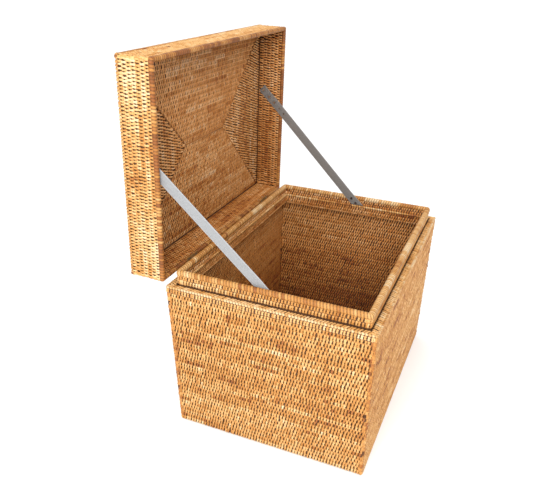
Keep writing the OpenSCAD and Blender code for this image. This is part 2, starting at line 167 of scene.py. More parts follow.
class StageSettings(bpy.types.PropertyGroup):
    """Camera, floor and lights"""

    azimuth: FloatProperty(
        name="Azimuth", description="Bearing of the camera, from the front",
        default=math.radians(-68.02), subtype="ANGLE"
    )
    elevation: FloatProperty(
        name="Elevation", description="Camera's angle above the horizon", default=math.radians(25.78), subtype="ANGLE"
    )
    roll: FloatProperty(
        name="Roll", description="Camera's turn about its own view", default=math.radians(1.42), subtype="ANGLE"
    )
    distance: FloatProperty(
        name="Distance", description="From the camera to its target", default=1.3674, unit="LENGTH"
    )
    target: FloatVectorProperty(
        name="Target", description="Point that the camera looks at",
        default=(-0.0601, 0.0727, 0.3579), subtype="XYZ"
    )
    lens: FloatProperty(name="Lens", description="Focal length in millimetres", default=39.0)
    key_power: FloatProperty(name="Key", description="Power of the key light", default=74.0, unit="POWER")
    sky: FloatProperty(name="Sky", description="Strength of the even light all round", default=0.76)
    overhead: FloatProperty(name="Overhead", description="Strength of the soft light from above", default=1.35)


# ---- places, all from the frame ----

HINGE = next(j for j in frame["joints"] if j["name"] == "lid_hinge")
PIVOT = np.array(HINGE["pos_m"])
OPEN_ANGLE = math.radians(HINGE["range_deg"][1])


def corners(node):
    """Lowest and highest corner of a CAD node, as arrays."""
    low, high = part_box(node)
    return np.array(low), np.array(high)


def swing(points, angle):
    """Turns points about the hinge's X axis: y and z go round the pivot, and x stays."""
    moved = np.array(points, float)
    c, s = math.cos(angle), math.sin(angle)
    y, z = moved[..., 1] - PIVOT[1], moved[..., 2] - PIVOT[2]
    moved[..., 1], moved[..., 2] = PIVOT[1] + y * c - z * s, PIVOT[2] + y * s + z * c
    return moved


def shut_corners(node):
    """Lowest and highest corner that a lid node has when the lid is shut."""
    points = np.array([v.co for v in frame["nodes"][node].data.vertices])
    points = swing(points, OPEN_ANGLE)
    return points.min(0), points.max(0)


def wall_half(z):
    """Half the body's outer width and depth at height z: both grow in a straight line from foot to wall top."""
    thickness = weave().wall_thickness
    top = corners("wall_front")[1]
    foot_x = thickness - corners("wall_left")[1][0]
    foot_y = thickness - corners("wall_front")[1][1]
    half_y_top = -corners("wall_front")[0][1]
    share = np.asarray(z) / top[2]
    return foot_x + (top[0] - foot_x) * share, foot_y + (half_y_top - foot_y) * share


def outward(side):
    """Level direction that a side faces: sides go round by a quarter turn, and side 0 is the front."""
    bearing = math.pi / 2 * (side - 1)
    return np.array([math.cos(bearing), math.sin(bearing), 0.0])


def weave():
    """The weave settings of this scene."""
    return bpy.context.scene.trunk_weave


def colours():
    """The finish settings of this scene."""
    return bpy.context.scene.trunk_finish


# ---- meshes ----


class Piece:
    """Parts of one mesh, gathered as arrays of points, four-sided faces and what each point carries."""

    def __init__(self):
        self.points, self.faces, self.tints, self.grooves, self.uvs = [], [], [], [], []
        self.slots, self.smooth = [], []
        self.count = 0

    def add(self, points, faces, tint=0.5, groove=0.0, uv=None, slot=0, smooth=True):
        """Adds one part. tint and groove are a number a point, uv is two, and slot is the part's material."""
        size = len(points)
        self.points.append(points)
        self.faces.append(faces + self.count)
        self.tints.append(np.broadcast_to(tint, size))
        self.grooves.append(np.broadcast_to(groove, size))
        self.uvs.append(np.zeros((size, 2)) if uv is None else uv)
        self.slots.append(np.full(len(faces), slot))
        self.smooth.append(np.full(len(faces), smooth))
        self.count += size

    def build(self, name, materials, material_slot, body=None, replaced=(), place=None):
        """Makes the object. place, if given, moves all points, such as swinging a shut lid open."""
        points = np.concatenate(self.points)
        if place:
            points = place(points)
        faces = np.concatenate(self.faces).astype(np.int32)
        mesh = bpy.data.meshes.new(name)
        mesh.vertices.add(len(points))
        mesh.vertices.foreach_set("co", points.astype(np.float32).ravel())
        mesh.loops.add(faces.size)
        mesh.loops.foreach_set("vertex_index", faces.ravel())
        mesh.polygons.add(len(faces))
        mesh.polygons.foreach_set("loop_start", np.arange(0, faces.size, 4, dtype=np.int32))
        mesh.polygons.foreach_set("material_index", np.concatenate(self.slots).astype(np.int32))
        mesh.update(calc_edges=True)
        mesh.polygons.foreach_set("use_smooth", np.concatenate(self.smooth))
        uvs = np.concatenate(self.uvs)[faces.ravel()]
        mesh.uv_layers.new(name="Cane").data.foreach_set("uv", uvs.astype(np.float32).ravel())
        for label, values in (("tint", self.tints), ("groove", self.grooves)):
            attribute = mesh.attributes.new(label, "FLOAT", "POINT")
            attribute.data.foreach_set("value", np.concatenate(values).astype(np.float32))
        for material in materials:
            mesh.materials.append(material)
        obj = bpy.data.objects.new(name, mesh)
        bpy.context.scene.collection.objects.link(obj)
        if body:
            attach(obj, body)
        if replaced:
            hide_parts(*replaced)
        return obj


def unit(vectors):
    """Vectors of length one: each over its own length."""
    return vectors / np.linalg.norm(vectors, axis=-1, keepdims=True)


def stitch_shell():
    """One stitch on a grid of 5 rings of 4 points: u runs along it and v across. Its crown drops with the square
    of u, its ends are narrower, and a ring is a flat-topped arch. Returns u, v, drop, lift, groove, uv and faces."""
    along = np.array([-0.5, -0.27, 0.0, 0.27, 0.5])
    narrow = np.array([0.92, 1.12, 0.74, 1.12, 0.92])
    across = np.array([-0.5, -0.27, 0.27, 0.5])
    lift = np.array([-1.0, 0.0, 0.0, -1.0])
    groove = np.array([0.30, 0.0, 0.0, 0.0, 0.30])
    rings, ring = len(along), len(across)
    u = np.repeat(along, ring)
    v = (narrow[:, None] * across).ravel()
    drop = 4 * u * u
    # The groove numbers are painted shade: some at both ends, where the stitch dives under, and full at the lower
    # edges of the middle ring, in the slit between stitches.
    dark = np.clip(np.repeat(groove, ring) + np.outer([0.0, 0.12, 1.0, 0.12, 0.0], [1, 0, 0, 1]).ravel(), 0, 1)
    uv = np.column_stack([u + 0.5, np.tile([0.0, 0.3, 0.7, 1.0], rings)])
    i, j = np.meshgrid(np.arange(rings - 1) * ring, np.arange(ring), indexing="ij")
    k = (j + 1) % ring
    sides = np.stack([i + j, i + ring + j, i + ring + k, i + k], -1).reshape(-1, 4)
    last = (rings - 1) * ring
    ends = np.array([[0, 1, 2, 3], [last + 3, last + 2, last + 1, last]])
    return u, v, drop, np.tile(lift, rings), dark, uv, np.vstack([sides, ends])


STITCH = stitch_shell()


def add_stitches(piece, rng, at, rise, out, tint, lean=0.0, length=None, width=None, arch=None, slot=0):
    """Lays a stitch at each point of at. rise is the way it runs and out the way it faces; lean turns it towards
    the right as seen from outside. A point is at + rise * u * length + side * v * width + out * (lift - drop)."""
    w = weave()
    u, v, drop, lift, dark, uv, faces = STITCH
    count = len(at)
    rise, out = np.broadcast_to(rise, at.shape), np.broadcast_to(out, at.shape)
    right = np.cross(rise, out)
    angle = (lean + rng.normal(0, math.radians(2.2), count))[:, None]
    along = rise * np.cos(angle) + right * np.sin(angle)
    side = np.cross(out, along)
    sizes = np.array([length or w.stitch_length, width or w.stitch_width])
    sizes = sizes * (1 + rng.normal(0, 1, (count, 2)) * [0.04, 0.08])
    crown = at + right * rng.normal(0, 0.00045, count)[:, None] - out * rng.uniform(0.0001, 0.0004, count)[:, None]
    depth = lift * w.cane_thickness - drop * (w.stitch_arch if arch is None else arch)
    points = (
        crown[:, None]
        + along[:, None] * (sizes[:, :1] * u)[..., None]
        + side[:, None] * (sizes[:, 1:] * v)[..., None]
        + out[:, None] * depth[None, :, None]
    )
    starts = (np.arange(count) * len(u))[:, None, None]
    piece.add(
        points.reshape(-1, 3),
        (faces[None] + starts).reshape(-1, 4),
        np.repeat(tint, len(u)),
        np.tile(dark, count),
        np.tile(uv, (count, 1)) + np.repeat(rng.uniform(0, 40, (count, 2)), len(u), axis=0),
        slot,
    )


def add_rods(piece, start, end, out, radius, slot=1, tint=0.5):
    """Straight six-sided rods: each is a ring of points, out * cos + side * sin, at both ends of its line."""
    facets = 6
    start, end = np.atleast_2d(start), np.atleast_2d(end)
    axis = unit(end - start)
    out = np.broadcast_to(out, axis.shape)
    turn = np.arange(facets) * 2 * math.pi / facets
    ring = out[:, None] * np.cos(turn)[:, None] + np.cross(axis, out)[:, None] * np.sin(turn)[:, None]
    points = np.stack([start[:, None] + ring * radius, end[:, None] + ring * radius], 1)
    j = np.arange(facets)
    k = (j + 1) % facets
    sides = np.stack([j, k, k + facets, j + facets], -1)
    caps = np.array([[0, 3, 2, 1], [0, 5, 4, 3]])
    faces = np.vstack([sides, caps, caps[:, ::-1] + facets])
    starts = (np.arange(len(start)) * 2 * facets)[:, None, None]
    piece.add(points.reshape(-1, 3), (faces[None] + starts).reshape(-1, 4), tint, 0.5, None, slot)


def add_block(piece, low_ring, high_ring, slot=1, tint=0.5):
    """Solid with four-sided ends: two rings of four points, the first seen anticlockwise from above."""
    faces = np.array([[0, 1, 5, 4], [1, 2, 6, 5], [2, 3, 7, 6], [3, 0, 4, 7], [3, 2, 1, 0], [4, 5, 6, 7]])
    piece.add(np.vstack([low_ring, high_ring]), faces, tint, 0.5, None, slot, smooth=False)


def add_box(piece, low, high):
    """Upright box between two corners."""
    ring = np.array([[low[0], low[1]], [high[0], low[1]], [high[0], high[1]], [low[0], high[1]]])
    rings = [np.column_stack([ring, np.full(4, z)]) for z in (low[2], high[2])]
    add_block(piece, *rings)


# ---- the way round a box with rounded corners ----


def side_extent(side, half_x, half_y, radius):
    """Half the length of one side. The front and back sides take the corner arcs with them."""
    even = np.asarray(side) % 2 == 0
    straight = np.where(even, half_x, half_y) - radius
    return straight + np.where(even, radius * math.pi / 2, 0.0)


def side_frame(side, t, half_x, half_y, radius):
    """Centre of curvature and outward normal, at distance t from the middle of a side, anticlockwise from above.
    Past the straight part the normal turns by the rest of t over the radius. Both results have z = 0."""
    side, t = np.asarray(side), np.asarray(t, float)
    even = side % 2 == 0
    straight = np.where(even, half_x, half_y) - radius
    depth = np.where(even, half_y, half_x) - radius
    bearing = math.pi / 2 * (side - 1)
    over = np.sign(t) * np.clip(np.abs(t) - straight, 0, None) / radius
    c, s = np.cos(bearing), np.sin(bearing)
    step = np.clip(t, -straight, straight)
    spine = np.stack([c * depth - s * step, s * depth + c * step, np.zeros_like(step)], -1)
    normal = np.stack([np.cos(bearing + over), np.sin(bearing + over), np.zeros_like(over)], -1)
    return spine, normal


def loop_frame(share, half_x, half_y, radius):
    """side_frame all the way round: share goes from 0 to 1 from the front left corner's arc."""
    extents = np.array([side_extent(side, half_x, half_y, radius) for side in range(4)])
    ends = np.cumsum(2 * extents)
    s = np.asarray(share) % 1 * ends[-1]
    side = np.minimum(np.searchsorted(ends, s, side="right"), 3)
    t = s - (ends[side] - extents[side])
    return side_frame(side, t, half_x, half_y, radius)


def loop_length(half_x, half_y, radius):
    """Length all the way round: the sum of the four sides with their arcs."""
    return sum(2 * float(side_extent(side, half_x, half_y, radius)) for side in range(4))


# ---- colour of the cane ----


def shades(rng, row, s, base=0.56, spread=1.0):
    """Shade of each stitch, from 0 for rust to 1 for pale: each row is strands of cane of one shade each, with
    short stained lengths, slow patches that are a sum of waves over the face, and a little of its own."""
    row = row.astype(int)
    rows = row.max() + 1
    strand = rng.uniform(0.10, 0.42, rows)
    cell = (s / strand[row] + rng.uniform(0, 20, rows)[row]).astype(int) % 48
    tone = (rng.normal(0, 0.06, (rows, 48)) + rng.normal(0, 0.05, (rows, 1)))[row, cell]
    cell = (s / 0.045 + rng.uniform(0, 20, rows)[row]).astype(int) % 96
    stain = rng.choice([0.0, -0.20, 0.14], (rows, 96), p=[0.80, 0.12, 0.08])[row, cell]
    height = row * weave().row_pitch
    waves = rng.normal(0, 1, (4, 4)) * [14, 26, 3, 0.045]
    patch = sum(a * np.sin(kx * s + ky * height + ph) for kx, ky, ph, a in waves)
    return np.clip(base + spread * (tone + stain + patch + rng.normal(0, 0.09, len(s))), 0.12, 1)


# ---- bands and fields of stitches ----


def row_heights(low, high):
    """Middles of as many rows as fit best between two heights."""
    rows = max(1, round((high - low) / weave().row_pitch))
    return low + (np.arange(rows) + 0.5) * (high - low) / rows


def add_band(piece, rng, side, heights, half, radius, inside=False, centre_y=0.0, shift=None, corner_wear=0.0,
             lean=None, shade=None, painted_low_shade=0.0, **stitch):
    """Rows of stitches along one side of a box. half gives the half sizes of the face at a height. Each row has
    the same number of stitches, so that the columns close up where the box narrows, and starts shift further on.
    The painted shade argument takes that much from the tint at the lowest row and nothing at the top: painted shade
    that darkens the rows towards the floor."""
    w = weave()
    end_gap, wear_width = 1.2 * MM, 9 * MM
    heights = np.asarray(heights, float)
    half_x, half_y = (np.broadcast_to(h, heights.shape) for h in half(heights))
    extent = side_extent(side, half_x, half_y, radius)
    count = round(2 * float(extent.mean()) / w.stitch_pitch)
    shift = (w.inner_shift if inside else w.outer_shift) if shift is None else shift
    direction = -1 if inside else 1
    row, i = np.meshgrid(np.arange(len(heights)), np.arange(-1, count + 2), indexing="ij")
    start = row * shift + rng.uniform(-0.22, 0.22, len(heights))[:, None]
    t = direction * (2 * (i + start % 1) / count - 1) * extent[:, None]
    keep = np.abs(t) <= extent[:, None] + 0.45 * w.stitch_pitch
    row, t = row[keep], t[keep]
    t = np.clip(t, end_gap - extent[row], extent[row] - end_gap)
    worn = np.clip((np.abs(t) - extent[row]) / wear_width + 1, 0, 1) * corner_wear
    spine, normal = side_frame(side, t, half_x[row], half_y[row], radius)
    step = heights[-1] - heights[0]
    slope = (half_x[-1] - half_x[0], half_y[-1] - half_y[0])[(side + 1) % 2] / step if step else 0.0
    at = spine + normal * radius + UP * heights[row][:, None] + [0, centre_y, 0]
    rise = unit(UP + normal * slope)
    out = unit(normal - UP * slope) * direction
    if lean is None:
        lean = w.inner_lean if inside else w.outer_lean
    # Painted shade: the lower rows are darker towards the floor.
    painted_shade = painted_low_shade * (1 - row / max(1, len(heights) - 1)) ** 1.2
    tint = shades(rng, row, t + 3.0 * side + 3.0, **(shade or {})) - worn - painted_shade
    add_stitches(piece, rng, at, rise, out, tint, lean, **stitch)


def add_field(piece, rng, edge, run, rise, rows, half_run, mitre=False, lean=0.0, shade=None, **stitch):
    """Rows of stitches on a flat face. edge is the middle of the first edge, run goes along the rows and rise
    away from the edge. With mitre the rows get shorter at 45 degrees, so that four fields make a panel."""
    pitch = weave().stitch_pitch
    end_gap = 3.2 * MM if mitre else 2.2 * MM
    out = np.cross(run, rise)
    count = math.ceil(half_run / pitch)
    row, i = np.meshgrid(np.arange(len(rows)), np.arange(-count, count + 1), indexing="ij")
    s = (i + row * 0.5 % 1) * pitch
    room = half_run - rows[row] * mitre - end_gap
    keep = np.abs(s) < room + 0.5 * pitch
    row, s = row[keep], np.clip(s, -room, room)[keep]
    at = edge + run * s[:, None] + rise * rows[row][:, None]
    tint = shades(rng, row, s + 4.0, **(shade or {}))
    add_stitches(piece, rng, at, rise, out, tint, lean, **stitch)


def add_panel(piece, rng, low, high, z, out_sign, shade):
    """Four mitred fields of stitches that fill a rectangle, round a ridge where the rows meet, with a cord along
    each mitre and along the ridge. low and high are the rectangle's corners."""
    half = (high - low) / 2
    middle = (high + low) / 2
    depth = min(half)
    rows = row_heights(0, depth)
    for side in range(4):
        normal = outward(side)
        edge = np.array([*middle, z]) + normal * half[(side + 1) % 2]
        run = np.cross(-normal, UP * out_sign)
        add_field(piece, rng, edge, run, -normal, rows, half[side % 2], mitre=True, shade=shade, lean=0.16,
                  width=4.4 * MM)
    cord = 1.3 * MM
    ridge = half[0] - depth
    starts = [(x * half[0], y * half[1]) for x in (-1, 1) for y in (-1, 1)] + [(-ridge, 0.0)]
    ends = [(x * ridge, 0.0) for x in (-1, -1, 1, 1, 1)]
    level = z - out_sign * cord
    for start, end in zip(starts, ends):
        add_rods(piece, np.array([*(middle + start), level]), np.array([*(middle + end), level]), UP, cord,
                 slot=0, tint=0.42)


def add_panel_rods(piece, low, high, z, radius):
    """The rods under a mitred panel: rectangles one inside the other, each of four straight rods."""
    half, middle = (high - low) / 2, (high + low) / 2
    rows = row_heights(0, min(half))
    for side in range(4):
        normal = outward(side)
        run = np.cross(normal, UP)
        reach = (half[side % 2] - rows)[:, None]
        centre = np.array([*middle, z]) + normal * (half[(side + 1) % 2] - rows)[:, None]
        add_rods(piece, centre - run * reach, centre + run * reach, UP, radius)


# ---- profiles swept round a loop ----


def add_swept_loop(piece, half_x, half_y, radius, profile):
    """Closed profile carried round a box, with flat faces. profile is (distance in from the outer face, height),
    up the outer face first. A point is spine + normal * (radius - distance) + up * height."""
    sides, places = [], []
    for side in range(4):
        extent = float(side_extent(side, half_x, half_y, radius))
        bend = radius * math.pi / 2 if side % 2 == 0 else 0.0
        first, last = np.linspace(-extent, bend - extent, 5), np.linspace(extent - bend, extent, 5)[:-1]
        place = np.unique(np.round(np.concatenate([first, last]), 9))
        places.append(place)
        sides.append(np.full(len(place), side))
    spine, normal = side_frame(np.concatenate(sides), np.concatenate(places), half_x, half_y, radius)
    profile = np.asarray(profile)
    points = spine[:, None] + normal[:, None] * (radius - profile[None, :, :1]) + UP * profile[None, :, 1:]
    piece.add(points.reshape(-1, 3), grid_faces(len(spine), len(profile)), 0.5, 0.5, None, 1, smooth=False)


def grid_faces(rows, columns):
    """Faces of a grid that closes on itself both ways."""
    i, j = np.meshgrid(np.arange(rows), np.arange(columns), indexing="ij")
    a, b = (i + 1) % rows, (j + 1) % columns
    return np.stack([i * columns + j, a * columns + j, a * columns + b, i * columns + b], -1).reshape(-1, 4)


def add_wrapped_loop(piece, rng, half_x, half_y, radius, profile, base=0.56, slant=0.5, depth=0.9 * MM,
                     centre_y=0.0, fix=None):
    """Rim wrapped in cane: the profile goes round the box and sinks by depth in a groove between the turns. The
    turn at a point is its place along the loop over the pitch, plus slant times its place round the profile."""
    samples, spread = 5, 1.3
    pitch = weave().wrap_pitch
    length = loop_length(half_x, half_y, radius)
    turns = round(length / pitch)
    count = turns * samples
    profile = np.asarray(profile)
    spine, normal = loop_frame(np.arange(count) / count, half_x, half_y, radius)
    spine = spine + [0, centre_y, 0]
    tangent = np.roll(profile, -1, 0) - np.roll(profile, 1, 0)
    inward = unit(np.column_stack([tangent[:, 1], -tangent[:, 0]]))
    place = np.arange(len(profile)) / len(profile)
    turn = np.arange(count)[:, None] / samples + slant * np.minimum(place, 1 - place) * 2
    share = turn % 1
    # groove sinks the profile between turns and also darkens it there through the cane's groove shade: painted shade.
    groove = np.abs(2 * share - 1) ** 2.4
    sunk = profile[None] + inward[None] * (groove * depth)[..., None]
    points = spine[:, None] + normal[:, None] * (radius - sunk[..., :1]) + UP * sunk[..., 1:]
    points = points.reshape(-1, 3)
    if fix:
        points = fix(points)
    number = turn.astype(int) % turns
    along = rng.uniform(0, 0.03, turns) + np.arange(turns) * pitch
    tone = shades(rng, np.zeros(turns, int), along, base, spread)
    uv = np.stack([np.broadcast_to(place * 2, turn.shape), share], -1) + rng.uniform(0, 9, (turns, 2))[number]
    faces = grid_faces(count, len(profile))
    piece.add(points, faces, tone[number].ravel(), groove.ravel(), uv.reshape(-1, 2), 0)


def arc(centre, radius, start, end, count):
    """Points of an arc, with angles in degrees."""
    turn = np.radians(np.linspace(start, end, count))
    return np.column_stack([centre[0] + radius * np.cos(turn), centre[1] + radius * np.sin(turn)])


# ---- finishes ----


def link(tree, *pairs):
    """Joins each output to its input."""
    for source, target in pairs:
        tree.links.new(source, target)


def feed(tree, value, socket):
    """Gives an input a value: a link from a socket, a colour of three numbers, or a number."""
    if isinstance(value, bpy.types.NodeSocket):
        link(tree, (value, socket))
    elif socket.type == "RGBA":
        socket.default_value = (*value, 1.0)
    else:
        socket.default_value = value


def node(tree, kind, **values):
    """A shader node. Values name its inputs, or its own settings where it has no input of that name."""
    made = tree.nodes.new("ShaderNode" + kind)
    for key, value in values.items():
        label = key.replace("_", " ").title()
        if label in made.inputs:
            made.inputs[label].default_value = value
        else:
            setattr(made, key, value)
    return made


def blank_material(name, roughness, metallic=0.0):
    """A material with one Principled shader; returns the material, its tree and the shader."""
    material = bpy.data.materials.new(name)
    material.use_nodes = True
    tree = material.node_tree
    shader = tree.nodes["Principled BSDF"]
    shader.inputs["Roughness"].default_value = roughness
    shader.inputs["Metallic"].default_value = metallic
    return material, tree, shader


def ramp(tree, factor, stops):
    """Colour ramp whose stops are (place, colour)."""
    made = tree.nodes.new("ShaderNodeValToRGB")
    elements = made.color_ramp.elements
    while len(elements) < len(stops):
        elements.new(0.5)
    for element, (place, colour) in zip(elements, stops):
        element.position = place
        element.color = (*colour, 1.0)
    link(tree, (factor, made.inputs["Fac"]))
    return made.outputs["Color"]


def mix(tree, factor, first, second, blend_type="MIX"):
    """Mixes two colours; a colour is a socket or three numbers, and the factor is a socket or a number."""
    made = tree.nodes.new("ShaderNodeMix")
    made.data_type, made.blend_type = "RGBA", blend_type
    for value, label in ((factor, "Factor"), (first, "A"), (second, "B")):
        feed(tree, value, made.inputs[label])
    return made.outputs["Result"]


def maths(tree, operation, first, second):
    """Sum, product or test of two values, each a socket or a number."""
    made = tree.nodes.new("ShaderNodeMath")
    made.operation = operation
    feed(tree, first, made.inputs[0])
    feed(tree, second, made.inputs[1])
    return made.outputs[0]


def spread_to(tree, value, low, high):
    """Maps 0 to 1 onto low to high."""
    made = tree.nodes.new("ShaderNodeMapRange")
    made.inputs["To Min"].default_value, made.inputs["To Max"].default_value = low, high
    link(tree, (value, made.inputs["Value"]))
    return made.outputs["Result"]


def noise(tree, vector, scale, detail=3.0, roughness=0.55):
    """Soft noise from 0 to 1 over a vector."""
    made = node(tree, "TexNoise", scale=scale, detail=detail, roughness=roughness)
    link(tree, (vector, made.inputs["Vector"]))
    return made.outputs["Fac"]


def scaled(tree, vector, scale):
    """A vector times three scales."""
    made = tree.nodes.new("ShaderNodeMapping")
    made.inputs["Scale"].default_value = scale
    link(tree, (vector, made.inputs["Vector"]))
    return made.outputs["Vector"]


def attribute(tree, name):
    """A number that the points of the mesh carry."""
    return node(tree, "Attribute", attribute_name=name).outputs["Fac"]


def bump(tree, shader, height, strength, distance):
    """Turns the shader's normal by a height."""
    made = tree.nodes.new("ShaderNodeBump")
    made.inputs["Strength"].default_value = strength
    made.inputs["Distance"].default_value = distance
    link(tree, (height, made.inputs["Height"]), (made.outputs["Normal"], shader.inputs["Normal"]))


def cane_material(name, stops, groove_shade_colour, groove_shade_strength):
    """Split cane: its shade from a ramp, fibres along the strand, small stains, and painted shade in the grooves,
    where it dives under and between stitches.
    """
    material, tree, shader = blank_material(name, 0.5)
    coordinates = tree.nodes.new("ShaderNodeTexCoord")
    fibre = noise(tree, scaled(tree, coordinates.outputs["UV"], (1.2, 9.0, 1.0)), 1.6)
    stain = noise(tree, coordinates.outputs["Object"], 90.0)
    shade = maths(tree, "ADD", attribute(tree, "tint"), spread_to(tree, stain, -0.14, 0.14))
    colour = ramp(tree, shade, stops)
    streaks = ramp(tree, fibre, [(0.28, (0.74, 0.66, 0.58)), (0.58, (1.0, 1.0, 1.0))])
    colour = mix(tree, 1.0, colour, streaks, "MULTIPLY")
    # Painted shade: the groove attribute mixes the rod's near-black into the cane where it dives under.
    groove_shade = maths(tree, "MULTIPLY", attribute(tree, "groove"), groove_shade_strength)
    colour = mix(tree, groove_shade, colour, groove_shade_colour)
    link(tree, (colour, shader.inputs["Base Color"]))
    link(tree, (spread_to(tree, fibre, 0.36, 0.62), shader.inputs["Roughness"]))
    shader.inputs["Specular IOR Level"].default_value = 0.3
    bump(tree, shader, fibre, 0.5, 0.0003)
    return material


def rod_material(name, colour):
    """Round rattan core, with long pores and knots, in the colour given: the rods' near-black is painted shade for
    the slots between stitches.
    """
    material, tree, shader = blank_material(name, 0.7)
    position = tree.nodes.new("ShaderNodeTexCoord").outputs["Object"]
    pores = noise(tree, position, 420.0)
    blotch = noise(tree, position, 35.0)
    dark = [c * 0.45 for c in colour]
    tone = ramp(tree, maths(tree, "MULTIPLY", maths(tree, "ADD", pores, blotch), 0.5), [(0.32, dark), (0.62, colour)])
    link(tree, (tone, shader.inputs["Base Color"]))
    link(tree, (spread_to(tree, pores, 0.55, 0.85), shader.inputs["Roughness"]))
    bump(tree, shader, pores, 0.4, 0.0004)
    return material


def timber_material(name, colour, grain_scale):
    """Stained softwood: grain stretched along the rail, darker in the late wood, and worn darker in patches."""
    material, tree, shader = blank_material(name, 0.6)
    position = tree.nodes.new("ShaderNodeTexCoord").outputs["Object"]
    grain = noise(tree, scaled(tree, position, grain_scale), 1.0, 6.0, 0.6)
    wear = noise(tree, position, 28.0)
    late = [c * 0.5 for c in colour]
    pale = [min(1.0, c * 1.35) for c in colour]
    tone = ramp(tree, grain, [(0.30, late), (0.52, colour), (0.72, pale)])
    tone = mix(tree, spread_to(tree, wear, 0.0, 0.5), tone, late)
    link(tree, (tone, shader.inputs["Base Color"]))
    link(tree, (spread_to(tree, grain, 0.48, 0.74), shader.inputs["Roughness"]))
    bump(tree, shader, grain, 0.35, 0.0005)
    return material


def webbing_material(name, colour):
    """Woven tape: the UV map is millimetres along and across it. Fine ribs cross it, and both edges are paler."""
    material, tree, shader = blank_material(name, 0.78)
    uv = tree.nodes.new("ShaderNodeTexCoord").outputs["UV"]
    ribs = node(tree, "TexWave", scale=0.62, distortion=0.6, detail=1.0, bands_direction="X")
    cords = node(tree, "TexWave", scale=0.45, distortion=0.4, detail=1.0, bands_direction="Y")
    link(tree, (uv, ribs.inputs["Vector"]), (uv, cords.inputs["Vector"]))
    cloth = maths(tree, "MULTIPLY", ribs.outputs["Fac"], spread_to(tree, cords.outputs["Fac"], 0.55, 1.0))
    split = tree.nodes.new("ShaderNodeSeparateXYZ")
    link(tree, (uv, split.inputs["Vector"]))
    edge = maths(tree, "GREATER_THAN", maths(tree, "ABSOLUTE", split.outputs["Y"], 0.0), 9.4)
    soil = noise(tree, scaled(tree, uv, (0.05, 0.12, 1.0)), 1.0)
    dark = [c * 0.62 for c in colour]
    tone = ramp(tree, cloth, [(0.05, dark), (0.7, colour)])
    tone = mix(tree, spread_to(tree, soil, 0.0, 0.35), tone, [c * 0.78 for c in colour])
    tone = mix(tree, maths(tree, "MULTIPLY", edge, 0.4), tone, [min(1.0, c * 1.3) for c in colour])
    link(tree, (tone, shader.inputs["Base Color"]))
    shader.inputs["Sheen Weight"].default_value = 0.25
    bump(tree, shader, cloth, 0.6, 0.0003)
    return material


def metal_material(name, colour, roughness, metallic):
    """Satin metal with fine brushing and dull, darker patches where it has aged."""
    material, tree, shader = blank_material(name, roughness, metallic)
    position = tree.nodes.new("ShaderNodeTexCoord").outputs["Object"]
    brush = noise(tree, scaled(tree, position, (300.0, 2500.0, 2500.0)), 1.0)
    age = noise(tree, position, 140.0)
    tone = ramp(tree, age, [(0.35, [c * 0.6 for c in colour]), (0.6, colour)])
    link(tree, (tone, shader.inputs["Base Color"]))
    link(tree, (spread_to(tree, brush, roughness - 0.12, roughness + 0.14), shader.inputs["Roughness"]))
    bump(tree, shader, brush, 0.25, 0.0001)
    return material


def material(name):
    """A finish by name."""
    return bpy.data.materials[name]


def cane_and_rod(inside=False):
    """The finishes of woven pieces: slot 0 is the cane and slot 1 the rods. Inner faces take a darker copy of the
    cane, which is painted shade.
    """
    return [material("cane_inside_shaded" if inside else "cane_outside"), material("rod_core")]


class TRUNK_OT_finishes(bpy.types.Operator):
    """Makes the materials of the cane, rods, timber, webbing and metal"""

    bl_idname = "trunk.finishes"
    bl_label = "Finishes"

    def execute(self, context):
        c = colours()
        canes = [tuple(x) for x in (c.rust, c.amber, c.honey, c.straw, c.pale)]
        rod = tuple(c.rod)
        stops = list(zip((0.0, 0.15, 0.32, 0.52, 0.74, 0.95), [tuple(k * 0.9 for k in rod), *canes]))
        # Painted shade: inner faces get a darker, browner copy of the cane, with stronger groove shade.
        brown = [tuple(k * f for k, f in zip(x, (0.98, 0.84, 0.78))) for x in canes]
        cane_material("cane_outside", stops, rod, 0.80)
        cane_material("cane_inside_shaded", [stops[0], *zip((0.15, 0.32, 0.52, 0.74, 0.95), brown)], rod, 0.95)
        cane_material("cane_rim", stops, rod, 0.95)
        rod_material("rod_core", rod)
        rod_material("post_cane", [k * 3.0 for k in rod])
        timber_material("timber_along_x", tuple(c.timber), (9.0, 260.0, 260.0))
        timber_material("timber_along_y", tuple(c.timber), (260.0, 9.0, 260.0))
        webbing_material("webbing_left", tuple(c.webbing_left))
        webbing_material("webbing_right", tuple(c.webbing_right))
        metal_material("hinge_brass", tuple(c.brass), 0.5, 0.4)
        metal_material("screw_steel", tuple(c.steel), 0.30, 1.0)
        # Near-black eyelet plugs: painted shade standing in for the holes.
        rod_material("eyelet_hole_shade", (0.012, 0.011, 0.010))
        return {"FINISHED"}


# ---- pieces of the body ----


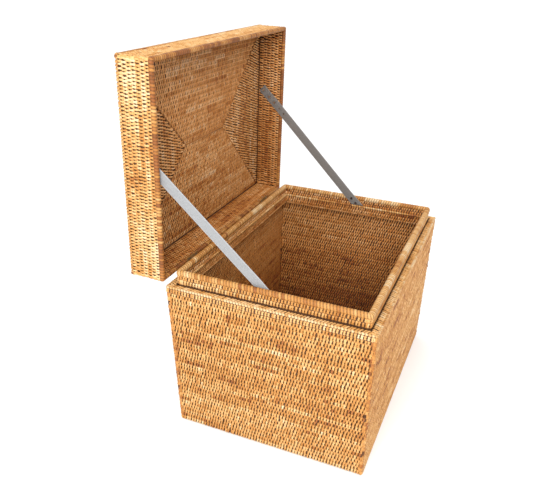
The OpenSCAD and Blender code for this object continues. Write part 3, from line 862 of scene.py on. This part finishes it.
class TRUNK_OT_body_walls(bpy.types.Operator):
    """Weaves both faces of the four leaning walls over their rods"""

    bl_idname = "trunk.body_walls"
    bl_label = "Body Walls"

    def execute(self, context):
        w = weave()
        rng = np.random.default_rng(w.seed)
        top = corners("wall_front")[1][2]
        floor_top = corners("floor_panel")[1][2]
        outer_rows = row_heights(2.7 * MM, top)
        inner_rows = row_heights(floor_top + 0.5 * MM, top)

        def inner_half(z):
            """Half sizes of the inner faces at a height."""
            return tuple(h - w.wall_thickness for h in wall_half(z))

        for side, name in enumerate(SIDES):
            outer, inner = Piece(), Piece()
            # Painted shade: the front wall's cane is darker than the other walls' because that side takes less light.
            add_band(outer, rng, side, outer_rows, wall_half, w.corner_radius, corner_wear=0.22,
                     shade={"base": 0.49 if name == "front" else 0.56})
            self.add_rods_and_web(outer, side, outer_rows)
            # The lining darkens towards the floor: painted shade.
            add_band(inner, rng, side, inner_rows, inner_half, 0.6 * MM, inside=True, width=4.6 * MM,
                     shade={"base": 0.62, "spread": 0.65}, painted_low_shade=0.48)
            outer.build(f"{name}_wall_weave", cane_and_rod(), "woven_cane", TRUNK, [f"wall_{name}"])
            inner.build(f"{name}_wall_lining_weave", cane_and_rod(inside=True), "woven_cane", TRUNK)
        return {"FINISHED"}

    def add_rods_and_web(self, piece, side, rows):
        """The rods lie in the middle of the wall, one a row, and a thin web between them stops any light."""
        w = weave()
        half = np.stack([h - w.wall_thickness / 2 for h in wall_half(rows)], -1)
        normal = outward(side)
        run = np.cross(UP, normal)
        centre = normal * half[:, [(side + 1) % 2]] + UP * rows[:, None]
        reach = run * half[:, [side % 2]]
        add_rods(piece, centre - reach, centre + reach, UP, w.wall_thickness / 2 - 1.9 * MM)
        rings = []
        for z in (1.0 * MM, corners("wall_front")[1][2]):
            sizes = [float(h) - w.wall_thickness / 2 for h in wall_half(z)]
            depth, width = sizes[(side + 1) % 2], sizes[side % 2]
            mid, web = normal * depth + UP * z, normal * 1.2 * MM
            rings.append(np.array([mid - run * width - web, mid - run * width + web,
                                   mid + run * width + web, mid + run * width - web]))
        add_block(piece, *rings)


class TRUNK_OT_floor(bpy.types.Operator):
    """Weaves both faces of the floor panel over its rods and web"""

    bl_idname = "trunk.floor"
    bl_label = "Floor"

    def execute(self, context):
        w = weave()
        rng = np.random.default_rng(w.seed + 1)
        low, high = corners("floor_panel")
        half_x, half_y, middle = high[0], high[1], (low[2] + high[2]) / 2
        rows = row_heights(0, 2 * half_y)
        x_axis = np.array([1.0, 0.0, 0.0])
        for name, z, run in (("top", high[2], x_axis), ("underside", low[2], -x_axis)):
            piece = Piece()
            rise = np.cross(UP if name == "top" else -UP, run)
            edge = np.array([0.0, -rise[1] * half_y, z])
            # Painted shade: both faces of the floor get very dark cane, for the dark bottom of the trunk.
            add_field(piece, rng, edge, run, rise, rows, half_x, lean=0.1, arch=2.0 * MM,
                      shade={"base": 0.16, "spread": 0.6})
            if name == "top":
                centre = np.column_stack([np.zeros_like(rows), rows - half_y, np.full_like(rows, middle)])
                add_rods(piece, centre - x_axis * half_x, centre + x_axis * half_x, UP, 2.0 * MM)
                add_box(piece, (-half_x, -half_y, middle - 0.6 * MM), (half_x, half_y, middle + 0.6 * MM))
            replaced = ["floor_panel"] if name == "top" else []
            piece.build(f"floor_weave_{name}", cane_and_rod(inside=True), "woven_cane", TRUNK, replaced)
        return {"FINISHED"}


def sink_under_leaves(points):
    """Presses what lies under the body's hinge leaves down to just below them."""
    margin = np.array([0.4, 0.4, 0.1]) * MM
    for side in ("left", "right"):
        low, high = corners(f"hinge_leaf_body_{side}")
        low, high = low - margin, high + margin
        under = (points[:, 0] > low[0]) & (points[:, 0] < high[0]) & (points[:, 1] > low[1])
        points[under, 2] = np.minimum(points[under, 2], low[2])
    return points


def lift_off_leaves(points):
    """Presses what lies over the lid's hinge leaves, on the shut lid, up to just above them."""
    for side in ("left", "right"):
        low, high = shut_corners(f"hinge_leaf_lid_{side}")
        leaf_top = shut_corners("lid_rim_back")[0][2] + 1.3 * MM
        over = (points[:, 0] > low[0] - 0.4 * MM) & (points[:, 0] < high[0] + 0.4 * MM) & (points[:, 1] > low[1])
        points[over, 2] = np.maximum(points[over, 2], leaf_top)
    return points


class TRUNK_OT_ledge(bpy.types.Operator):
    """Weaves the cover of the ledge: a row up its side, a wrapped bead on its edge and slanted stitches on top"""

    bl_idname = "trunk.ledge"
    bl_label = "Ledge"

    def execute(self, context):
        w = weave()
        rng = np.random.default_rng(w.seed + 2)
        low, high = corners("ledge_cover")
        half_x, half_y, top = high
        inset = half_x + corners("collar_rim_left")[0][0]
        rail_top = corners("ledge_rail_front")[1][2]
        bead = 2.6 * MM
        piece = Piece()
        for side in range(4):
            row = [(low[2] + top - 2 * bead) / 2 + 0.3 * MM]
            add_band(piece, rng, side, row, lambda z: (half_x, half_y), w.corner_radius)
        self.add_top(piece, rng, half_x, half_y, inset, top - 0.4 * MM)
        self.add_lining(rng)
        skin = [
            (1.7 * MM, low[2] + 0.5 * MM), (1.7 * MM, top - 1.7 * MM), (inset + 1 * MM, top - 1.7 * MM),
            (inset + 1 * MM, rail_top + 0.1 * MM), (2.8 * MM, rail_top + 0.1 * MM), (2.8 * MM, low[2] + 0.5 * MM),
        ]
        add_swept_loop(piece, half_x, half_y, w.corner_radius, skin)
        for points in piece.points:
            sink_under_leaves(points)
        piece.build("ledge_weave", cane_and_rod(), "woven_cane", TRUNK, ["ledge_cover"])

        edge = Piece()
        ring = arc((bead, top - bead), bead, 180, -180, 9)[:-1]
        add_wrapped_loop(edge, rng, half_x, half_y, w.corner_radius, ring, base=0.66, fix=sink_under_leaves)
        edge.build("ledge_edge_bead", [material("cane_rim")], "pale_cane", TRUNK)
        return {"FINISHED"}

    def add_lining(self, rng):
        """The rails under the ledge, with one row of stitches on the side that shows inside the trunk."""
        low, high = corners("ledge_rail_left")
        in_x, in_y = -high[0], corners("ledge_rail_back")[0][1]
        out_x, out_y = -low[0], corners("ledge_rail_back")[1][1]
        piece = Piece()
        depth = out_x - in_x
        core = [(1 * MM, low[2] + 1.5 * MM), (1 * MM, high[2]), (depth - 2 * MM, high[2]),
                (depth - 2 * MM, low[2] + 1.5 * MM)]
        add_swept_loop(piece, out_x, out_y, 5 * MM, core)
        for side in range(4):
            rows = row_heights(low[2], corners("inner_bead")[0][2])
            add_band(piece, rng, side, rows, lambda z: (in_x, in_y), 0.6 * MM, inside=True, length=10.4 * MM,
                     arch=1.9 * MM, width=5.1 * MM)
            normal = outward(side)
            run = np.cross(-normal, -UP)
            edge = normal * [in_x, in_y, 0] + UP * low[2]
            add_field(piece, rng, edge, run, normal, np.array([6 * MM]), (in_x, in_y)[side % 2], arch=1.5 * MM)
        names = [f"ledge_rail_{name}" for name in SIDES]
        piece.build("ledge_rail_weave", cane_and_rod(inside=True), "woven_cane", TRUNK, names)

    def add_top(self, piece, rng, half_x, half_y, inset, z):
        """One slanted stitch a pitch across the ledge, from its edge bead to the foot of the collar."""
        w = weave()
        count = round(loop_length(half_x, half_y, w.corner_radius) / w.stitch_pitch)
        spine, normal = loop_frame((np.arange(count) + 0.5) / count, half_x, half_y, w.corner_radius)
        at = spine + normal * (w.corner_radius - inset * 0.60) + UP * z
        tint = shades(rng, np.zeros(count, int), np.arange(count) * w.stitch_pitch, 0.60)
        add_stitches(
            piece, rng, at, -normal, UP, tint, lean=0.50, length=14.5 * MM, width=5.6 * MM, arch=0.8 * MM
        )


class TRUNK_OT_collar(bpy.types.Operator):
    """Weaves the collar that stands inside the ledge, and wraps its rim and the bead inside it"""

    bl_idname = "trunk.collar"
    bl_label = "Collar"

    def execute(self, context):
        w = weave()
        rng = np.random.default_rng(w.seed + 3)
        low, high = corners("collar_front")
        rim_low, rim_high = corners("collar_rim_front")
        rim_width = rim_high[1] - rim_low[1]
        thickness = high[1] - low[1]
        half_x, half_y = rim_high[0], -rim_low[1]
        in_x, in_y = half_x - rim_width, half_y - rim_width
        wall_x, wall_y = in_x + thickness, in_y + thickness
        ledge = corners("ledge_cover")[1][2]
        bead_low, bead_high = corners("inner_bead")
        bead_z, bead = (bead_low[2] + bead_high[2]) / 2, (bead_high[2] - bead_low[2]) / 2
        turn_radius = 9 * MM

        piece = Piece()
        add_swept_loop(piece, wall_x, wall_y, turn_radius, [
            (1.6 * MM, low[2]), (1.6 * MM, high[2]), (thickness - 1.5 * MM, high[2]), (thickness - 1.5 * MM, low[2])
        ])
        outer_rows = row_heights(ledge + 0.5 * MM, high[2] + 0.6 * MM)
        inner_rows = row_heights(bead_z + 0.6 * bead, high[2] + 0.5 * MM)
        for side in range(4):
            add_band(piece, rng, side, outer_rows, lambda z: (wall_x, wall_y), turn_radius, shade={"base": 0.56},
                     length=11.6 * MM, arch=1.5 * MM)
        piece.build(
            "collar_weave", cane_and_rod(), "woven_cane", TRUNK, [f"collar_{name}" for name in SIDES]
        )
        lining = Piece()
        for side in range(4):
            add_band(lining, rng, side, inner_rows, lambda z: (in_x, in_y), 2 * MM, inside=True, shift=0.5,
                     length=9.0 * MM, arch=1.8 * MM)
        lining.build("collar_lining_weave", cane_and_rod(inside=True), "woven_cane", TRUNK)

        rim = Piece()
        radius = rim_width / 2
        foot = high[2] - 0.4 * MM
        crown = arc((radius, rim_high[2] - radius), radius, 180, 0, 9)
        profile = np.vstack([[(0, foot)], crown, [(rim_width, foot)]])
        add_wrapped_loop(rim, rng, half_x, half_y, 10 * MM, profile, base=0.58, slant=0.55, depth=1.1 * MM)
        rim.build("collar_rim_wrap", [material("cane_rim")], "pale_cane", TRUNK,
                  [f"collar_rim_{name}" for name in SIDES])

        beading = Piece()
        ring = arc((0, bead_z), bead, 180, -180, 9)[:-1]
        add_wrapped_loop(beading, rng, in_x, in_y, 5 * MM, ring, base=0.60, slant=0.4, depth=0.5 * MM)
        beading.build("collar_bead_wrap", [material("cane_rim")], "pale_cane", TRUNK, ["inner_bead"])
        return {"FINISHED"}


# ---- pieces of the lid, worked out shut and swung open ----


def open_lid(points):
    """Points of the shut lid, swung open."""
    return swing(points, -OPEN_ANGLE)


def lid_sizes():
    """Half sizes, middle y, wall thickness, wall's foot and top of the shut lid."""
    low, high = shut_corners("lid_wall_front")
    back = shut_corners("lid_wall_back")[1]
    half_x, front, rear = high[0], low[1], back[1]
    return half_x, (rear - front) / 2, (rear + front) / 2, high[1] - low[1], low[2], high[2]


class TRUNK_OT_lid_walls(bpy.types.Operator):
    """Weaves both faces of the lid's four walls and its rounded top edges"""

    bl_idname = "trunk.lid_walls"
    bl_label = "Lid Walls"

    def execute(self, context):
        w = weave()
        rng = np.random.default_rng(w.seed + 4)
        half_x, half_y, centre_y, thickness, foot, top = lid_sizes()
        r = w.corner_radius
        outer_rows = row_heights(foot, top - r)
        inner_rows = row_heights(foot, top - thickness)
        for side, name in enumerate(SIDES):
            outer, inner = Piece(), Piece()
            add_band(outer, rng, side, outer_rows, lambda z: (half_x, half_y), r, centre_y=centre_y,
                     shift=0.5, lean=0.08, shade={"base": 0.62})
            self.add_edge(outer, rng, side, half_x, half_y, centre_y, top, r)
            self.add_rods_and_web(outer, side, outer_rows)
            add_band(inner, rng, side, inner_rows, lambda z: (half_x - thickness, half_y - thickness), 0.6 * MM,
                     inside=True, centre_y=centre_y, shift=0.5, lean=0.1, shade={"base": 0.52}, width=4.8 * MM)
            outer.build(f"lid_{name}_weave", cane_and_rod(), "woven_cane", LID, [f"lid_wall_{name}"], open_lid)
            inner.build(f"lid_{name}_lining_weave", cane_and_rod(inside=True), "woven_cane", LID, (), open_lid)
        return {"FINISHED"}

    def add_edge(self, piece, rng, side, half_x, half_y, centre_y, top, radius):
        """One row of stitches over the rod in the top edge, facing halfway between out and up."""
        w = weave()
        extent = float(side_extent(side, half_x, half_y, radius))
        count = round(2 * extent / w.stitch_pitch)
        t = (2 * (np.arange(count) + 0.5) / count - 1) * extent
        spine, normal = side_frame(side, t, half_x, half_y, radius)
        out = unit(normal + UP)
        at = spine + UP * (top - radius) + out * (radius + 0.1 * MM) + [0, centre_y, 0]
        tint = shades(rng, np.zeros(count, int), t + 3.0, 0.6)
        add_stitches(piece, rng, at, unit(UP - normal), out, tint, length=10.5 * MM, arch=2.6 * MM)

    def add_rods_and_web(self, piece, side, rows):
        """The rods lie in the middle of the lid's wall, one a row, with a thin web between them."""
        half_x, half_y, centre_y, thickness, foot, top = lid_sizes()
        half = np.array([half_x, half_y]) - thickness / 2
        normal = outward(side)
        run = np.cross(UP, normal)
        middle = normal * half[(side + 1) % 2] + [0, centre_y, 0]
        centre = middle + UP * rows[:, None]
        reach = run * half[side % 2]
        add_rods(piece, centre - reach, centre + reach, UP, thickness / 2 - 1.8 * MM)
        web = normal * 1.0 * MM
        ring = np.array([middle - reach - web, middle - reach + web, middle + reach + web, middle + reach - web])
        add_block(piece, ring + UP * (foot - 1 * MM), ring + UP * (top - thickness / 2))


class TRUNK_OT_lid_panel(bpy.types.Operator):
    """Weaves both faces of the lid's top panel, as four mitred fields round a ridge"""

    bl_idname = "trunk.lid_panel"
    bl_label = "Lid Panel"

    def execute(self, context):
        w = weave()
        rng = np.random.default_rng(w.seed + 5)
        half_x, half_y, centre_y, thickness, foot, top = lid_sizes()
        low, high = shut_corners("lid_panel")
        middle = (low[2] + high[2]) / 2
        edge = w.corner_radius
        outer_low = np.array([edge - half_x, centre_y - half_y + edge])
        outer_high = np.array([half_x - edge, centre_y + half_y - edge])
        outer, inner = Piece(), Piece()
        add_panel(outer, rng, outer_low, outer_high, top, 1, {"base": 0.58})
        add_panel_rods(outer, outer_low, outer_high, middle, 3.2 * MM)
        web = np.array([0, 0, 1.0 * MM])
        add_box(outer, np.array([*outer_low, middle]) - web, np.array([*outer_high, middle]) + web)
        add_panel(inner, rng, low[:2], high[:2], low[2], -1, {"base": 0.62})
        outer.build("lid_panel_weave", cane_and_rod(), "woven_cane", LID, ["lid_panel"], open_lid)
        inner.build("lid_panel_lining_weave", cane_and_rod(inside=True), "woven_cane", LID, (), open_lid)
        return {"FINISHED"}


class TRUNK_OT_lid_rim(bpy.types.Operator):
    """Wraps the rim of the lid, let in over the hinge leaves"""

    bl_idname = "trunk.lid_rim"
    bl_label = "Lid Rim"

    def execute(self, context):
        rng = np.random.default_rng(weave().seed + 6)
        half_x, half_y, centre_y, thickness, foot, top = lid_sizes()
        low = shut_corners("lid_rim_front")[0]
        radius = thickness / 2
        bottom = arc((radius, low[2] + radius), radius, 0, -180, 9)
        profile = np.vstack([[(0, foot + 0.4 * MM), (thickness, foot + 0.4 * MM)], bottom])
        piece = Piece()
        add_wrapped_loop(piece, rng, half_x, half_y, weave().corner_radius, profile, base=0.27, slant=0.25,
                         depth=0.8 * MM, centre_y=centre_y, fix=lift_off_leaves)
        piece.build("lid_rim_wrap", [material("cane_rim")], "pale_cane", LID,
                    [f"lid_rim_{name}" for name in SIDES], open_lid)
        return {"FINISHED"}


# ---- straps and fittings ----


class StrapLine:
    """The straight line of one strap in its own upright plane, found from the screws at its two ends."""

    low_screws = np.array([7, 24]) * MM
    top_screws = np.array([7, 31, 51]) * MM
    eyelets = np.array([71, 90]) * MM
    low_flat, top_flat = 38 * MM, 58 * MM

    def __init__(self, name):
        self.hand = -1 if name == "left" else 1
        low, top = self.screws("strap_screws_body"), self.screws("strap_screws_lid")
        run = top - low
        self.along = run / np.linalg.norm(run)
        self.across = np.array([self.along[1], -self.along[0]])
        self.foot = low - self.along * self.low_screws.mean()
        self.length = np.linalg.norm(run) + self.low_screws.mean() + self.top_screws.mean()
        bottom, top_corner = corners(f"strap_{name}")
        self.cut_z = bottom[2]
        self.low_x = min(abs(bottom[0]), abs(top_corner[0])) + 0.6 * MM
        self.top_x = max(abs(bottom[0]), abs(top_corner[0])) - 0.6 * MM

    def screws(self, node_name):
        """Middle (y, z) of the screws at this strap's end of the trunk."""
        points = np.array([v.co for v in frame["nodes"][node_name].data.vertices])
        return points[points[:, 0] * self.hand > 0][:, 1:].mean(0)

    def at(self, s, v, w):
        """Point at s along the strap, v across it and w out from its middle plane."""
        slope = np.clip((s - self.low_flat) / (self.length - self.low_flat - self.top_flat), 0, 1)
        x = self.low_x + (self.top_x - self.low_x) * slope + w
        yz = self.foot + s[:, None] * self.along + v[:, None] * self.across
        return np.column_stack([self.hand * x, yz])


class TRUNK_OT_straps(bpy.types.Operator):
    """Makes the two webbing straps, which bend between the trunk and the lid"""

    bl_idname = "trunk.straps"
    bl_label = "Straps"

    def execute(self, context):
        for name in ("left", "right"):
            line = StrapLine(name)
            piece = Piece()
            self.add_tape(piece, line)
            self.add_eyelets(piece, line)
            finishes = [material(f"webbing_{name}"), material("eyelet_hole_shade"), material("screw_steel")]
            obj = piece.build(f"{name}_strap_webbing", finishes, "webbing", replaced=[f"strap_{name}"])
            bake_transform(obj)
        return {"FINISHED"}

    def add_tape(self, piece, line):
        """A thin rounded oblong carried along the strap. Its first ring is sheared to a level cut at the collar."""
        rings = 121
        width, thickness = 22 * MM, 1.2 * MM
        edge = np.array([[-0.5, -0.3], [-0.5, 0.3], [-0.44, 0.5], [0, 0.44], [0.44, 0.5],
                         [0.5, 0.3], [0.5, -0.3], [0.44, -0.5], [0, -0.44], [-0.44, -0.5]])
        s = np.linspace(0, line.length, rings)
        v, w = edge[:, 0] * width, edge[:, 1] * thickness
        shear = (line.cut_z - line.foot[1] - v * line.across[1]) / line.along[1]
        grid = s[:, None] + shear[None] * np.clip(1 - s / (20 * MM), 0, 1)[:, None]
        points = line.at(grid.ravel(), np.tile(v, rings), np.tile(w, rings))
        i, j = np.meshgrid(np.arange(rings - 1), np.arange(10), indexing="ij")
        k = (j + 1) % 10
        faces = np.stack([i * 10 + j, i * 10 + k, (i + 1) * 10 + k, (i + 1) * 10 + j], -1).reshape(-1, 4)
        cap = np.array([[9, 2, 1, 0], [9, 8, 3, 2], [8, 7, 4, 3], [7, 6, 5, 4]])
        last = (rings - 1) * 10
        faces = np.vstack([faces, cap, cap[:, ::-1] + last])
        if line.hand < 0:
            faces = faces[:, ::-1]
        uv = np.column_stack([grid.ravel(), np.tile(v, rings)]) / MM
        piece.add(points, faces, 0.5, 0.0, uv, 0)

    def add_eyelets(self, piece, line):
        """Short near-black plugs where the tape is punched, painted shade in place of the holes, each in a thin steel
        ring.
        """
        for s in line.length - line.eyelets:
            centre = line.at(np.array([s]), np.zeros(1), np.zeros(1))[0]
            for radius, half, slot in ((2.6 * MM, 0.38 * MM, 2), (1.6 * MM, 0.48 * MM, 1)):
                self.add_disc(piece, centre - [line.hand * half, 0, 0], radius, half, slot)

    def add_disc(self, piece, centre, radius, half, slot):
        """Flat round plug of 16 sides, facing along X."""
        count = 16
        turn = np.arange(count) * 2 * math.pi / count
        ring = np.column_stack([np.zeros(count), np.cos(turn) * radius, np.sin(turn) * radius])
        points = centre + np.vstack([ring - [half, 0, 0], ring + [half, 0, 0]])
        j = np.arange(count)
        k = (j + 1) % count
        sides = np.stack([j, k, k + count, j + count], -1)
        q = np.arange(count // 2 - 1)
        cap = np.stack([q, q + 1, count - 2 - q, count - 1 - q], -1)
        piece.add(points, np.vstack([sides, cap[:, ::-1], cap + count]), 0.5, 0.0, None, slot, smooth=False)


class TRUNK_OT_fittings(bpy.types.Operator):
    """Gives the hinges, pins, screws, posts, rods and rails of the frame their finishes"""

    bl_idname = "trunk.fittings"
    bl_label = "Fittings"

    def execute(self, context):
        for name, obj in frame["nodes"].items():
            if obj.hide_render:
                continue
            obj.data.materials.clear()
            obj.data.materials.append(material(self.finish_of(name)))
        return {"FINISHED"}

    def finish_of(self, name):
        """Name of the finish of a CAD node."""
        if name.startswith("hinge_leaf"):
            return "hinge_brass"
        if "screws" in name or "pin" in name:
            return "screw_steel"
        if "post" in name or "rod" in name:
            return "post_cane"
        return "timber_along_x" if name.endswith(("front", "back")) else "timber_along_y"


# ---- stage ----


class TRUNK_OT_stage(bpy.types.Operator):
    """Sets the pale floor, the soft light and the camera"""

    bl_idname = "trunk.stage"
    bl_label = "Stage"

    def execute(self, context):
        stage = context.scene.trunk_stage
        self.make_floor()
        self.make_sky(stage)
        self.make_key(stage)
        self.make_overhead(stage)
        self.make_camera(stage)
        context.scene.view_settings.view_transform = "Standard"
        return {"FINISHED"}

    def make_floor(self):
        """A wide pale plane under the trunk."""
        reach = 40.0
        mesh = bpy.data.meshes.new("floor")
        mesh.from_pydata([(-reach, -reach, 0), (reach, -reach, 0), (reach, reach, 0), (-reach, reach, 0)], [],
                         [(0, 1, 2, 3)])
        floor = bpy.data.objects.new("floor", mesh)
        bpy.context.scene.collection.objects.link(floor)
        pale, tree, shader = blank_material("pale_floor", 0.9)
        position = tree.nodes.new("ShaderNodeTexCoord").outputs["Object"]
        cloud = noise(tree, position, 1.5)
        link(tree, (ramp(tree, cloud, [(0.3, (0.93, 0.93, 0.93)), (0.7, (0.96, 0.96, 0.96))]),
                    shader.inputs["Base Color"]))
        mesh.materials.append(pale)

    def make_sky(self, stage):
        """Even white light from all round."""
        world = bpy.data.worlds.new("studio")
        world.use_nodes = True
        background = world.node_tree.nodes["Background"]
        background.inputs["Color"].default_value = (1.0, 1.0, 1.0, 1.0)
        background.inputs["Strength"].default_value = stage.sky
        bpy.context.scene.world = world

    def make_key(self, stage):
        """A large soft light from the left, aimed at the trunk."""
        light = bpy.data.lights.new("key", "AREA")
        light.shape, light.size, light.size_y = "RECTANGLE", 1.6, 1.6
        light.energy = stage.key_power
        light.color = (1.0, 0.985, 0.96)
        key = bpy.data.objects.new("key", light)
        key.location = (-2.6, -0.5, 1.9)
        aim = Vector((0.0, 0.05, 0.35)) - key.location
        key.rotation_euler = aim.to_track_quat("-Z", "Y").to_euler()
        bpy.context.scene.collection.objects.link(key)

    def make_overhead(self, stage):
        """Very soft light from above."""
        light = bpy.data.lights.new("overhead", "SUN")
        light.energy, light.angle = stage.overhead, math.radians(100)
        overhead = bpy.data.objects.new("overhead", light)
        overhead.rotation_euler = (0.0, math.radians(-12), 0.0)
        bpy.context.scene.collection.objects.link(overhead)

    def make_camera(self, stage):
        """The camera stands back from its target along the view and is then rolled about it."""
        az, el = stage.azimuth, stage.elevation
        back = Vector((math.sin(az) * math.cos(el), -math.cos(az) * math.cos(el), math.sin(el)))
        data = bpy.data.cameras.new("camera")
        data.lens = stage.lens
        camera = bpy.data.objects.new("camera", data)
        bpy.context.scene.collection.objects.link(camera)
        upright = (-back).to_track_quat("-Z", "Y").to_matrix().to_4x4()
        place = Matrix.Translation(Vector(stage.target) + back * stage.distance)
        camera.matrix_world = place @ upright @ Matrix.Rotation(stage.roll, 4, "Z")
        bpy.context.scene.camera = camera


# ---- sidebar and main ----

STEPS = (
    TRUNK_OT_stage,
    TRUNK_OT_finishes,
    TRUNK_OT_body_walls,
    TRUNK_OT_floor,
    TRUNK_OT_ledge,
    TRUNK_OT_collar,
    TRUNK_OT_lid_walls,
    TRUNK_OT_lid_panel,
    TRUNK_OT_lid_rim,
    TRUNK_OT_straps,
    TRUNK_OT_fittings,
)


class TRUNK_PT_sidebar(bpy.types.Panel):
    """Lists the settings and the steps in the order they are run"""

    bl_idname = "TRUNK_PT_sidebar"
    bl_label = "Woven Trunk"
    bl_space_type = "VIEW_3D"
    bl_region_type = "UI"
    bl_category = "Trunk"

    def draw(self, context):
        for settings in (context.scene.trunk_weave, context.scene.trunk_finish, context.scene.trunk_stage):
            box = self.layout.box()
            for name in settings.__annotations__:
                box.prop(settings, name)
        for step in STEPS:
            self.layout.operator(step.bl_idname)


SETTINGS = {"trunk_weave": WeaveSettings, "trunk_finish": FinishSettings, "trunk_stage": StageSettings}


def register():
    for cls in (*SETTINGS.values(), *STEPS, TRUNK_PT_sidebar):
        bpy.utils.register_class(cls)
    for name, cls in SETTINGS.items():
        setattr(bpy.types.Scene, name, PointerProperty(type=cls))


def unregister():
    for name in SETTINGS:
        delattr(bpy.types.Scene, name)
    for cls in reversed((*SETTINGS.values(), *STEPS, TRUNK_PT_sidebar)):
        bpy.utils.unregister_class(cls)


def main():
    register()
    for step in STEPS:
        group, name = step.bl_idname.split(".")
        getattr(getattr(bpy.ops, group), name)()


if __name__ == "__main__":
    main()
